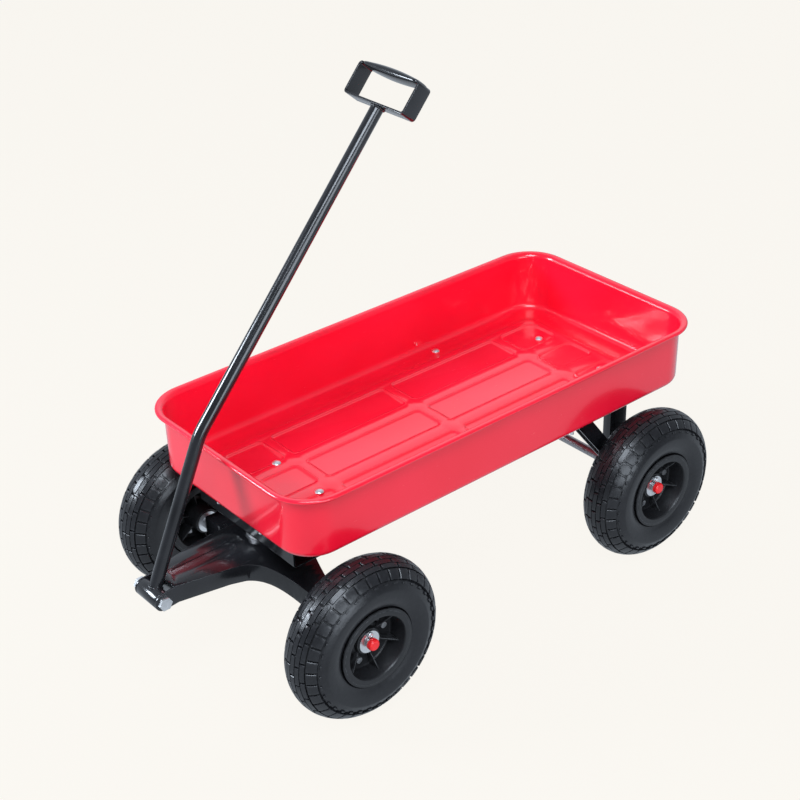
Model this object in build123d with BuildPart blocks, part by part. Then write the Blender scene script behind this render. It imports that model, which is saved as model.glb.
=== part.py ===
from build123d import *
from math import asin, cos, radians, sin, tan
import os

# A child's pull wagon: a pressed steel tray on a steering front axle and a fixed
# rear axle, four pneumatic wheels, and a bent tubular handle with a loop grip.
# Millimetres. +X points forward to the handle, +Y to the wagon's left, +Z up.
# The origin lies on the ground, below the middle of the whole wagon.

os.makedirs("parts", exist_ok=True)

# ---- Driving dimensions ----------------------------------------------------

# Running gear
tyre_diameter = 260
tyre_section = 83
axle_diameter = 16

# Tray
tray_length = 837
tray_width = 410
tray_height = 108
front_overhang = 84.5
rear_overhang = 144.5
tray_corner_radius = 70
sheet = 1.2
rim_overhang = 13
rim_flare_radius = 9
rim_roll_radius = 2.6
tray_bottom_radius = 12
tray_draft = 1.0
floor_tongue = 20
joint_overlap = 2

# Embossed tray floor
field_inset = 63
field_rise = 4.3
field_corner_radius = 20
panel_depth = 2.5
panel_corner_radius = 10
panel_land_x = 14
panel_land_y = 23.5
panel_margin_front = 30
panel_margin_rear = 12.5
panel_margin_side = 16
front_panel_length = 74
rear_panel_length = 84
middle_panel_width = 63

# Tray fasteners: places are measured from the axles and the centre line
front_bolt_reach_aft = 61
front_bolt_reach_fore = 49
front_bolt_spread = 54
rear_bolt_reach = 39
rear_bolt_spread = 74
brace_bolt_reach = 122
bolt_head_diameter = 14
bolt_head_height = 3.6
bolt_head_edge = 0.8
bolt_diameter = 6
bolt_length = 20
nut_width = 10
nut_height = 5
washer_diameter = 18
thread_show = 3
thread_chamfer = 1

# Front bolster and kingpin
bolster_width = 240
wear_plate_thickness = 4.7
bolster_channel = 80
bolster_flange_aft = 36
bolster_flange_fore = 22
bracket_plate = 3
kingpin_diameter = 12
kingpin_head_width = 19
kingpin_head_height = 8
kingpin_nut_height = 10
thrust_plate_diameter = 68
thrust_plate_thickness = 4

# Steering yoke
yoke_rise = 75
yoke_lip = 29
yoke_nose_half_width = 28
yoke_waist_half_width = 37
yoke_root_half_width = 50
yoke_end_length = 30
yoke_end_rise = 25
yoke_end_drop = 13
yoke_root_reach = 79
yoke_waist_shift = 10
yoke_rear_reach = 34
arm_tip_sweep = 26
arm_root_pull = 12
arm_tip_pull = 45
shoulder_inset = 5
shoulder_run = 25
shoulder_fall = 13
arm_top_ease = 3
arm_bottom_ease = 8
cheek_root_inset = 12
cheek_root_width = 6
gusset_spread = 80
gusset_length = 50
gusset_drop = 14
groove_start = 15
groove_width = 22
groove_depth = 1.2
groove_length = 110

# Handle pivot
pivot_reach = 208
pivot_rise = 57
barrel_wall_over_tube = 4
pivot_bolt_diameter = 12
pivot_bush_diameter = 17
pivot_bush_length = 20
pivot_head_width = 19
pivot_head_height = 7
pivot_nut_height = 9

# Handle
handle_tube_diameter = 20
handle_tube_wall = 1.8
lower_lean = 24.6
lower_length = 251
upper_lean = 40.8
upper_length = 528.5
handle_bend_radius = 90

# Grip
grip_width = 131
grip_height = 52
grip_strip = 3
grip_depth = 28
grip_corner_radius = 6
grip_core_depth = 20
sleeve_end_depth = 29
sleeve_end_thickness = 7
sleeve_depth = 34
sleeve_thickness = 14
sleeve_gap = 3

# Rear bracket and braces
rear_leg_width = 38
rear_leg_flange = 16
rear_plate_rear = 56
rear_plate_lip = 20
brace_width = 22
brace_height = 24
brace_sheet = 2.5
brace_foot = 34

# Wheel rim, bearing and tyre
bead_depth = 7.8
bead_width = 9
bead_height = 9.5
tyre_wall = 6.5
tyre_tread = 8
rim_lip_height = 9.2
rim_lip_gap = 1.5
rim_lip_thickness = 3.5
rim_barrel_wall = 3.5
rim_web = 5
hub_diameter = 42
hub_outboard = 16
hub_inboard = 47
bearing_diameter = 35
bearing_width = 11
bearing_seal_inset = 3
bearing_seal_depth = 0.8
hub_bore_clearance = 1.5
rib_count = 6
rib_thickness = 3
rib_outer_height = 27
rib_inner_height = 12
first_rib = -100
rim_bolt_count = 3
rim_bolt_diameter = 5
rim_bolt_head_diameter = 10
rim_bolt_head_height = 3.5
rim_nut_width = 8
rim_nut_height = 4
tube_wall = 1.6
valve_diameter = 8
valve_length = 22
valve_offset = 19

# Axle end fittings
axle_washer_diameter = 36
axle_washer_thickness = 2
cotter_diameter = 3.2
cotter_offset = 21
cap_diameter = 19
cotter_tail = 5
cotter_neck = 3
cotter_eye_radius = 3
cap_length = 8.4
cap_cover = 2.1
cap_gap = 0.7
spacer_wall = 3
front_spacer_length = 17.7
axle_chamfer = 0.8

# Clearances
running_fit = 0.05
pin_hole_clearance = 0.1
bolt_hole_clearance = 0.4
body_clearance = 0.3
seat_clearance = 0.3
barrel_side_clearance = 0.5
stop_clearance = 0.5
tyre_tray_gap = 6
tyre_brace_gap = 4
track_beyond_tray = 34

# ---- Places derived from the driving dimensions ----------------------------

tyre_radius = tyre_diameter / 2
section_radius = tyre_section / 2
axle_height = tyre_radius
wheelbase = tray_length - front_overhang - rear_overhang
track = tray_width + track_beyond_tray
tray_setback = (rear_overhang - front_overhang) / 2
tray_bottom = tyre_diameter + tyre_tray_gap
axle_radius = axle_diameter / 2
kingpin_radius = kingpin_diameter / 2
tube_radius = handle_tube_diameter / 2
pivot_radius = tube_radius + barrel_wall_over_tube
pivot_height = axle_height + pivot_rise
pivot_barrel_length = 2 * (yoke_nose_half_width - bracket_plate - barrel_side_clearance)

# The wheelbase middle sits behind the origin by this much.
front_most = wheelbase / 2 + pivot_reach + pivot_radius
rear_most = min(-tray_setback - tray_length / 2, -wheelbase / 2 - tyre_radius)
middle_x = -(front_most + rear_most) / 2

front_x = middle_x + wheelbase / 2
rear_x = middle_x - wheelbase / 2
tray_x = middle_x - tray_setback
pivot_x = front_x + pivot_reach
floor_top = tray_bottom + sheet
field_top = floor_top + field_rise
panel_top = field_top - panel_depth

bolt_radius = bolt_diameter / 2
bolt_hole_radius = bolt_radius + bolt_hole_clearance
bracket_bottom = tray_bottom - bracket_plate

hub_inner_y = track / 2 - hub_inboard
spacer_end = hub_inner_y - body_clearance - axle_washer_thickness
cap_start = track / 2 + cotter_offset + cotter_diameter / 2 + cap_gap
axle_end = cap_start + cap_length - cap_cover
axle_hole_radius = axle_radius + pin_hole_clearance

# The legs of the rear bracket stand inside the braces, which clear the tyres.
rear_leg_spread = track - tyre_section - 2 * (brace_width + tyre_brace_gap)
brace_bolt_spread = (rear_leg_spread + brace_width) / 2

yoke_top = axle_height + yoke_rise
yoke_end_top = axle_height + yoke_end_rise
yoke_end_bottom = axle_height - yoke_end_drop
yoke_half_span = spacer_end - front_spacer_length


def save(piece, label):
    """Name a finished piece and write it as its own file."""
    piece.part.label = label
    export_step(piece.part, f"parts/{label}.step")


# ---- Tray ------------------------------------------------------------------

wall_length = tray_length - 2 * rim_overhang
wall_width = tray_width - 2 * rim_overhang
wall_corner = tray_corner_radius - rim_overhang

field_length = tray_length - 2 * field_inset
field_width = tray_width - 2 * field_inset
field_front = tray_x + field_length / 2
long_panel_length = (
    field_length - panel_margin_front - panel_margin_rear
    - front_panel_length - rear_panel_length - 3 * panel_land_x
) / 2
side_panel_width = (
    field_width - 2 * panel_margin_side - middle_panel_width - 2 * panel_land_y
) / 2

# Panel columns run from the front of the field to its rear.
panel_columns = []
panel_front = field_front - panel_margin_front
for length in (front_panel_length, long_panel_length, long_panel_length, rear_panel_length):
    panel_columns.append((panel_front - length / 2, length))
    panel_front -= length + panel_land_x

side_row = middle_panel_width / 2 + panel_land_y + side_panel_width / 2
panel_rows = [
    (-side_row, side_panel_width),
    (0, middle_panel_width),
    (side_row, side_panel_width),
]

front_bolt_points = [
    (front_x + reach, side * front_bolt_spread)
    for reach in (-front_bolt_reach_aft, front_bolt_reach_fore) for side in (-1, 1)
]
rear_bolt_points = [(rear_x - rear_bolt_reach, side * rear_bolt_spread) for side in (-1, 1)]
brace_bolt_points = [(rear_x + brace_bolt_reach, side * brace_bolt_spread) for side in (-1, 1)]
tray_bolt_points = front_bolt_points + rear_bolt_points + brace_bolt_points


def panel_outlines(grow):
    """Sketch every floor panel, grown outward on each side."""
    for column_x, length in panel_columns:
        for row_y, width in panel_rows:
            with Locations((column_x, row_y)):
                RectangleRounded(
                    length + 2 * grow, width + 2 * grow, panel_corner_radius + grow
                )


def field_outline(grow):
    """Sketch the raised field of the floor, grown outward on each side."""
    with Locations((tray_x, 0)):
        RectangleRounded(
            field_length + 2 * grow, field_width + 2 * grow, field_corner_radius + grow
        )


# The outside of the walls seen from above. The rim section is carried round it.
with BuildSketch(Plane.XY.offset(tray_bottom)) as wall_outline:
    with Locations((tray_x, 0)):
        RectangleRounded(wall_length, wall_width, wall_corner)
wall_path = wall_outline.sketch.wire()
along = wall_path % 0
outward = along.cross(Vector(0, 0, 1))
if outward.dot((wall_path @ 0) - Vector(tray_x, 0, tray_bottom)) < 0:
    outward = -outward
section_plane = Plane(wall_path @ 0, x_dir=outward, z_dir=outward.cross(Vector(0, 0, 1)))

with BuildPart() as tray:
    # The wall and rolled rim: one bent strip of sheet, carried round the outline.
    with BuildSketch(section_plane):
        with BuildLine():
            foot = tray_bottom_radius - sheet / 2
            flat = Line((-floor_tongue, sheet / 2), (-tray_draft - tray_bottom_radius, sheet / 2))
            turn = ThreePointArc(
                flat @ 1,
                (-tray_draft - sheet / 2 - foot * (1 - sin(radians(45))),
                 tray_bottom_radius - foot * cos(radians(45))),
                (-tray_draft - sheet / 2, tray_bottom_radius),
            )
            wall = Line(turn @ 1, (-sheet / 2, tray_height - sheet / 2 - rim_flare_radius))
            flare = ThreePointArc(
                wall @ 1,
                (-sheet / 2 + rim_flare_radius * (1 - cos(radians(45))),
                 tray_height - sheet / 2 - rim_flare_radius * (1 - sin(radians(45)))),
                (-sheet / 2 + rim_flare_radius, tray_height - sheet / 2),
            )
            roll_x = rim_overhang - sheet / 2 - rim_roll_radius
            roll_z = tray_height - sheet / 2 - rim_roll_radius
            ledge = Line(flare @ 1, (roll_x, tray_height - sheet / 2))
            ThreePointArc(
                ledge @ 1,
                (roll_x + rim_roll_radius, roll_z),
                (roll_x, roll_z - rim_roll_radius),
            )
        trace(line_width=sheet)
    sweep(path=wall_path)

    # The border of the floor, from the walls in to the raised field.
    with BuildSketch(Plane.XY.offset(tray_bottom)):
        with Locations((tray_x, 0)):
            RectangleRounded(
                wall_length - 2 * (floor_tongue - joint_overlap),
                wall_width - 2 * (floor_tongue - joint_overlap),
                wall_corner - floor_tongue + joint_overlap,
            )
    extrude(amount=sheet)
    with BuildSketch(Plane.XY.offset(tray_bottom)):
        field_outline(-sheet)
    extrude(amount=sheet, mode=Mode.SUBTRACT)

    # The step up to the field, the field itself and the steps down to the panels.
    with BuildSketch(Plane.XY.offset(tray_bottom)):
        field_outline(0)
    extrude(amount=field_top - tray_bottom)
    with BuildSketch(Plane.XY.offset(tray_bottom)):
        field_outline(-sheet)
    extrude(amount=field_rise, mode=Mode.SUBTRACT)
    with BuildSketch(Plane.XY.offset(panel_top - sheet)):
        panel_outlines(sheet)
    extrude(amount=panel_depth + sheet)
    with BuildSketch(Plane.XY.offset(panel_top)):
        panel_outlines(0)
    extrude(amount=panel_depth, mode=Mode.SUBTRACT)

    with BuildSketch(Plane.XY.offset(tray_bottom)):
        with Locations(*tray_bolt_points):
            Circle(bolt_hole_radius)
    extrude(amount=tray_height / 2, mode=Mode.SUBTRACT)
save(tray, "tray")


# ---- Tray fasteners --------------------------------------------------------

def dome_bolts(points_and_seats):
    """Dome-headed bolts, each with its head on the floor at the given height."""
    head_radius = bolt_head_diameter / 2
    dome = bolt_head_height - bolt_head_edge
    sphere = (head_radius ** 2 + dome ** 2) / (2 * dome)
    half_angle = asin(head_radius / sphere) / 2
    with BuildPart() as bolts:
        for (bolt_x, bolt_y), seat in points_and_seats:
            with BuildSketch(Plane((bolt_x, bolt_y, 0), x_dir=(1, 0, 0), z_dir=(0, -1, 0))):
                with BuildLine():
                    crown = seat + bolt_head_height
                    under = Line((0, seat), (head_radius, seat))
                    edge = Line(under @ 1, (head_radius, seat + bolt_head_edge))
                    ThreePointArc(
                        edge @ 1,
                        (sphere * sin(half_angle), crown - sphere * (1 - cos(half_angle))),
                        (0, crown),
                    )
                    Line((0, crown), (0, seat))
                make_face()
            revolve(axis=Axis((bolt_x, bolt_y, 0), (0, 0, 1)))
            with BuildSketch(Plane.XY.offset(seat - bolt_length)):
                with Locations((bolt_x, bolt_y)):
                    Circle(bolt_radius)
            extrude(amount=bolt_length)
    return bolts


front_seats = [field_top, field_top, floor_top, floor_top]
save(dome_bolts(list(zip(front_bolt_points, front_seats))), "tray_front_bolts")
save(dome_bolts([(point, panel_top) for point in rear_bolt_points]), "tray_rear_bolts")
save(dome_bolts([(point, floor_top) for point in brace_bolt_points]), "tray_brace_bolts")

# Spacer washers fill the gap between the brackets and the raised floor.
raised_points = front_bolt_points[:2] + rear_bolt_points
with BuildPart() as tray_washers:
    with BuildSketch(Plane.XY.offset(tray_bottom)):
        with Locations(*raised_points):
            Circle(washer_diameter / 2)
            Circle(bolt_hole_radius, mode=Mode.SUBTRACT)
    extrude(amount=panel_top - sheet - tray_bottom)
save(tray_washers, "tray_washers")

with BuildPart() as tray_nuts:
    for points, seat in (
        (front_bolt_points + rear_bolt_points, bracket_bottom),
        (brace_bolt_points, tray_bottom - brace_sheet),
    ):
        with BuildSketch(Plane.XY.offset(seat - nut_height)):
            with Locations(*points):
                RegularPolygon(nut_width / 2, 6, major_radius=False)
                Circle(bolt_radius, mode=Mode.SUBTRACT)
        extrude(amount=nut_height)
save(tray_nuts, "tray_nuts")


# ---- Front bolster ---------------------------------------------------------

thrust_top = yoke_top + thrust_plate_thickness
wear_bottom = thrust_top + body_clearance
bolster_bottom = wear_bottom + wear_plate_thickness
bolster_depth = tray_bottom - bolster_bottom
half_channel = bolster_channel / 2
flange_aft = half_channel + bolster_flange_aft
flange_fore = half_channel + bolster_flange_fore

with BuildPart() as front_bolster:
    with BuildSketch(Plane.XZ.offset(-bolster_width / 2)):
        with BuildLine():
            Polyline(
                (front_x - flange_aft, tray_bottom),
                (front_x - half_channel + bracket_plate, tray_bottom),
                (front_x - half_channel + bracket_plate, bolster_bottom + bracket_plate),
                (front_x + half_channel - bracket_plate, bolster_bottom + bracket_plate),
                (front_x + half_channel - bracket_plate, tray_bottom),
                (front_x + flange_fore, tray_bottom),
                (front_x + flange_fore, bracket_bottom),
                (front_x + half_channel, bracket_bottom),
                (front_x + half_channel, bolster_bottom),
                (front_x - half_channel, bolster_bottom),
                (front_x - half_channel, bracket_bottom),
                (front_x - flange_aft, bracket_bottom),
                close=True,
            )
        make_face()
    extrude(amount=bolster_width)
    bends = front_bolster.edges().filter_by(Axis.Y).group_by(Axis.Z)[0]
    fillet(bends, radius=bracket_plate * 2)
    with BuildSketch(Plane.XY.offset(bolster_bottom)):
        with Locations(*front_bolt_points):
            Circle(bolt_hole_radius)
    extrude(amount=bolster_depth, mode=Mode.SUBTRACT)
    with BuildSketch(Plane.XY.offset(bolster_bottom)):
        with Locations((front_x, 0)):
            Circle(kingpin_radius + pin_hole_clearance)
    extrude(amount=bolster_depth, mode=Mode.SUBTRACT)
save(front_bolster, "front_bolster")

# Two flat plates carry the load between the bolster and the turning yoke.
with BuildPart() as bolster_wear_plate:
    with BuildSketch(Plane.XY.offset(wear_bottom)):
        with Locations((front_x, 0)):
            Circle(thrust_plate_diameter / 2)
            Circle(kingpin_radius + pin_hole_clearance, mode=Mode.SUBTRACT)
    extrude(amount=wear_plate_thickness)
save(bolster_wear_plate, "bolster_wear_plate")

with BuildPart() as steering_thrust_plate:
    with BuildSketch(Plane.XY.offset(yoke_top)):
        with Locations((front_x, 0)):
            Circle(thrust_plate_diameter / 2)
            Circle(kingpin_radius + running_fit, mode=Mode.SUBTRACT)
    extrude(amount=thrust_plate_thickness)
save(steering_thrust_plate, "steering_thrust_plate")

# The kingpin hangs from the bolster; the yoke turns on it above its head.
kingpin_head_top = yoke_top - bracket_plate - body_clearance
kingpin_top = bolster_bottom + bracket_plate + kingpin_nut_height + thread_show

with BuildPart() as kingpin_bolt:
    with BuildSketch(Plane.XY.offset(kingpin_head_top - kingpin_head_height)):
        with Locations((front_x, 0)):
            RegularPolygon(kingpin_head_width / 2, 6, major_radius=False)
    extrude(amount=kingpin_head_height)
    with BuildSketch(Plane.XY.offset(kingpin_head_top)):
        with Locations((front_x, 0)):
            Circle(kingpin_radius)
    extrude(amount=kingpin_top - kingpin_head_top)
    thread_end = kingpin_bolt.edges().filter_by(GeomType.CIRCLE).sort_by(Axis.Z)[-1]
    chamfer(thread_end, length=thread_chamfer)
save(kingpin_bolt, "kingpin_bolt")

with BuildPart() as kingpin_nut:
    with BuildSketch(Plane.XY.offset(bolster_bottom + bracket_plate)):
        with Locations((front_x, 0)):
            RegularPolygon(kingpin_head_width / 2, 6, major_radius=False)
            Circle(kingpin_radius, mode=Mode.SUBTRACT)
    extrude(amount=kingpin_nut_height)
save(kingpin_nut, "kingpin_nut")


# ---- Steering yoke ---------------------------------------------------------

# The handle leans on the front edge of the yoke's top plate when it stands up.
tube_back_x = (
    pivot_x - (yoke_top - pivot_height) * tan(radians(lower_lean))
    - tube_radius / cos(radians(lower_lean))
)
yoke_front = tube_back_x - stop_clearance
yoke_half_end = yoke_end_length / 2
yoke_root_x = front_x + yoke_root_reach
yoke_waist_x = (yoke_front + yoke_root_x) / 2 + yoke_waist_shift
yoke_rear = front_x - yoke_rear_reach


def yoke_outline(inset):
    """The yoke seen from above, drawn in by an inset: a tongue that flares into arms."""
    front = yoke_front - inset
    rear = yoke_rear + inset
    tip_x = front_x + yoke_half_end - inset
    heel_x = front_x - yoke_half_end + inset
    with BuildSketch(Plane.XY) as outline:
        with BuildLine():
            for side in (-1, 1):
                nose = (front, side * (yoke_nose_half_width - inset))
                waist = (yoke_waist_x, side * (yoke_waist_half_width - inset))
                root = (yoke_root_x - inset, side * (yoke_root_half_width - inset))
                tip = (tip_x, side * (yoke_half_span - inset))
                Polyline(nose, waist, root)
                Bezier(
                    root,
                    (tip_x + arm_tip_sweep, side * (yoke_root_half_width + arm_root_pull - inset)),
                    (tip_x, side * (yoke_root_half_width + arm_tip_pull - inset)),
                    tip,
                )
                Polyline(
                    tip,
                    (heel_x, side * (yoke_half_span - inset)),
                    (rear, side * yoke_root_half_width),
                )
            Line((rear, -yoke_root_half_width), (rear, yoke_root_half_width))
            Line(
                (front, -yoke_nose_half_width + inset),
                (front, yoke_nose_half_width - inset),
            )
        make_face()
    return outline


def yoke_elevation(drop, bottom_drop):
    """The yoke seen from the front: flat in the middle, arms sloping down."""
    flat_half = yoke_root_half_width - shoulder_inset
    outer_half = yoke_half_span + joint_overlap
    top = yoke_top - drop
    bottom = yoke_top - yoke_lip - bottom_drop
    end_top = yoke_end_top - drop
    end_bottom = yoke_end_bottom - bottom_drop
    with BuildSketch(Plane.YZ.offset(yoke_rear - joint_overlap)) as elevation:
        with BuildLine():
            Line((-flat_half, top), (flat_half, top))
            Line((-flat_half, bottom), (flat_half, bottom))
            for side in (-1, 1):
                Bezier(
                    (side * flat_half, top),
                    (side * (flat_half + shoulder_run), top - shoulder_fall),
                    (side * (flat_half + 2 * shoulder_run), end_top + arm_top_ease),
                    (side * outer_half, end_top),
                )
                Line((side * outer_half, end_top), (side * outer_half, end_bottom))
                Bezier(
                    (side * flat_half, bottom),
                    (side * (flat_half + shoulder_run), bottom - shoulder_fall),
                    (side * (flat_half + 2 * shoulder_run), end_bottom + arm_bottom_ease),
                    (side * outer_half, end_bottom),
                )
        make_face()
    return elevation


# The hollow under the pressing, one sheet thickness in from its outside.
with BuildPart() as yoke_hollow:
    extrude(yoke_outline(bracket_plate).sketch, amount=yoke_top)
    below = yoke_top - yoke_lip
    extrude(yoke_elevation(bracket_plate, below).sketch, amount=wheelbase, mode=Mode.INTERSECT)

with BuildPart() as steering_yoke:
    extrude(yoke_outline(0).sketch, amount=yoke_top)
    extrude(yoke_elevation(0, 0).sketch, amount=wheelbase, mode=Mode.INTERSECT)
    add(yoke_hollow.part, mode=Mode.SUBTRACT)

    # Two cheeks carry the barrel of the handle between them.
    for side in (-1, 1):
        cheek_plane = Plane.XZ.offset(-side * yoke_nose_half_width)
        with BuildSketch(cheek_plane):
            with Locations((pivot_x, pivot_height)):
                Circle(pivot_radius)
            with Locations((yoke_front - cheek_root_inset, yoke_top - yoke_lip / 2)):
                Rectangle(cheek_root_width, yoke_lip)
            make_hull()
        extrude(amount=side * bracket_plate)

    # Two gussets stand between the top plate and the axle.
    for side in (-1, 1):
        with BuildSketch(Plane.XZ.offset(-side * gusset_spread / 2)):
            with Locations((front_x, (yoke_top + axle_height - gusset_drop) / 2)):
                Rectangle(gusset_length, yoke_rise + gusset_drop - bracket_plate)
        extrude(amount=side * bracket_plate)

    # The long pressed groove down the middle of the tongue.
    with BuildSketch(Plane.XY.offset(yoke_top)):
        with Locations((yoke_front - groove_start - groove_length / 2, 0)):
            SlotOverall(groove_length, groove_width)
    extrude(amount=-groove_depth, mode=Mode.SUBTRACT)

    with BuildSketch(Plane.XY):
        with Locations((front_x, 0)):
            Circle(kingpin_radius + running_fit)
    extrude(amount=tray_bottom, mode=Mode.SUBTRACT)
    with BuildSketch(Plane.XZ.offset(-track / 2)):
        with Locations((front_x, axle_height)):
            Circle(axle_hole_radius)
        with Locations((pivot_x, pivot_height)):
            Circle(pivot_bolt_diameter / 2 + pin_hole_clearance)
    extrude(amount=track, mode=Mode.SUBTRACT)
save(steering_yoke, "steering_yoke")


# ---- Axles and what sits on them -------------------------------------------

def make_axle(axle_x):
    """A straight round bar with a cross hole for the cotter pin at each end."""
    with BuildPart() as axle:
        with BuildSketch(Plane.XZ.offset(-axle_end)):
            with Locations((axle_x, axle_height)):
                Circle(axle_radius)
        extrude(amount=2 * axle_end)
        chamfer(axle.edges().filter_by(GeomType.CIRCLE), length=axle_chamfer)
        with BuildSketch(Plane.XY):
            with Locations(*[(axle_x, side * (track / 2 + cotter_offset)) for side in (-1, 1)]):
                Circle(cotter_diameter / 2 + bolt_hole_clearance)
        extrude(amount=tyre_diameter, mode=Mode.SUBTRACT)
    return axle


def rings(axle_x, outer_radius, inner_radius, spans):
    """Rings round the axle line, one for each pair of distances from the centre."""
    with BuildPart() as group:
        for near, far in spans:
            for side in (-1, 1):
                with BuildSketch(Plane.XZ.offset(-side * far)):
                    with Locations((axle_x, axle_height)):
                        Circle(outer_radius)
                        Circle(inner_radius, mode=Mode.SUBTRACT)
                extrude(amount=side * (far - near))
    return group


def make_cotter_pins(axle_x):
    """Cotter pins: a straight leg through the axle with an eye on top."""
    with BuildPart() as pins:
        for side in (-1, 1):
            pin_y = side * (track / 2 + cotter_offset)
            with BuildSketch(Plane.XY.offset(axle_height - axle_radius - cotter_tail)):
                with Locations((axle_x, pin_y)):
                    Circle(cotter_diameter / 2)
            extrude(amount=cotter_tail + axle_diameter + cotter_neck)
            eye_z = axle_height + axle_radius + cotter_neck + cotter_eye_radius
            with BuildSketch(Plane((axle_x, pin_y, eye_z), x_dir=(1, 0, 0), z_dir=(0, 0, 1))):
                with Locations((cotter_eye_radius, 0)):
                    Circle(cotter_diameter / 2)
            revolve(axis=Axis((axle_x, pin_y, eye_z), (0, 1, 0)))
    return pins


def make_caps(axle_x):
    """Domed push-on caps over both ends of the axle."""
    with BuildPart() as caps:
        for side in (-1, 1):
            with BuildSketch(Plane.XZ.offset(-side * cap_start)):
                with Locations((axle_x, axle_height)):
                    Circle(cap_diameter / 2)
            extrude(amount=-side * cap_length)
            outer = caps.faces().sort_by(Axis.Y)[-1 if side > 0 else 0]
            fillet(outer.edges(), radius=cap_length * 0.45)
            with BuildSketch(Plane.XZ.offset(-side * cap_start)):
                with Locations((axle_x, axle_height)):
                    Circle(axle_radius)
            extrude(amount=-side * (cap_length - cap_cover), mode=Mode.SUBTRACT)
    return caps


washer_hole = axle_radius + body_clearance
inner_washer = (spacer_end, spacer_end + axle_washer_thickness)
outer_washer_start = track / 2 + hub_outboard + body_clearance
outer_washer = (outer_washer_start, outer_washer_start + axle_washer_thickness)
front_spacer = (yoke_half_span, spacer_end)
rear_spacer = (rear_leg_spread / 2 + brace_sheet, spacer_end)

for name, axle_x, spacer in (("front", front_x, front_spacer), ("rear", rear_x, rear_spacer)):
    save(make_axle(axle_x), f"{name}_axle")
    save(rings(axle_x, axle_radius + spacer_wall, washer_hole, [spacer]), f"{name}_axle_spacers")
    save(
        rings(axle_x, axle_washer_diameter / 2, washer_hole, [inner_washer, outer_washer]),
        f"{name}_axle_washers",
    )
    save(make_cotter_pins(axle_x), f"{name}_cotter_pins")
    save(make_caps(axle_x), f"{name}_axle_caps")


# ---- Rear bracket and braces -----------------------------------------------

leg_outer = rear_leg_spread / 2
leg_half = rear_leg_width / 2
leg_bottom = axle_height - leg_half

with BuildPart() as rear_bracket:
    # Top plate under the tray with its edges turned down.
    plate_length = rear_plate_rear + leg_half
    plate_x = rear_x + (leg_half - rear_plate_rear) / 2
    with BuildSketch(Plane.XY.offset(tray_bottom)):
        with Locations((plate_x, 0)):
            Rectangle(plate_length, rear_leg_spread)
    extrude(amount=-rear_plate_lip)
    with BuildSketch(Plane.XY.offset(bracket_bottom)):
        with Locations((plate_x, 0)):
            Rectangle(plate_length - 2 * bracket_plate, rear_leg_spread + 2)
    extrude(amount=-rear_plate_lip, mode=Mode.SUBTRACT)

    # A channel-shaped leg at each side, rounded below the axle.
    for side in (-1, 1):
        with BuildSketch(Plane.XZ.offset(-side * leg_outer)):
            with Locations((rear_x, (bracket_bottom + axle_height) / 2)):
                Rectangle(rear_leg_width, bracket_bottom - axle_height)
            with Locations((rear_x, axle_height)):
                Circle(leg_half)
        extrude(amount=side * rear_leg_flange)
        with BuildSketch(Plane.XZ.offset(-side * (leg_outer - bracket_plate))):
            with Locations((rear_x, (bracket_bottom + axle_height) / 2)):
                Rectangle(rear_leg_width - 2 * bracket_plate, bracket_bottom - axle_height)
            with Locations((rear_x, axle_height)):
                Circle(leg_half - bracket_plate)
        extrude(amount=side * rear_leg_flange, mode=Mode.SUBTRACT)

    with BuildSketch(Plane.XZ.offset(-leg_outer)):
        with Locations((rear_x, axle_height)):
            Circle(axle_hole_radius)
    extrude(amount=rear_leg_spread, mode=Mode.SUBTRACT)
    with BuildSketch(Plane.XY.offset(bracket_bottom)):
        with Locations(*rear_bolt_points):
            Circle(bolt_hole_radius)
    extrude(amount=bracket_plate, mode=Mode.SUBTRACT)
save(rear_bracket, "rear_bracket")

foot_x = rear_x + brace_bolt_reach
foot_bottom = tray_bottom - brace_sheet


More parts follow.
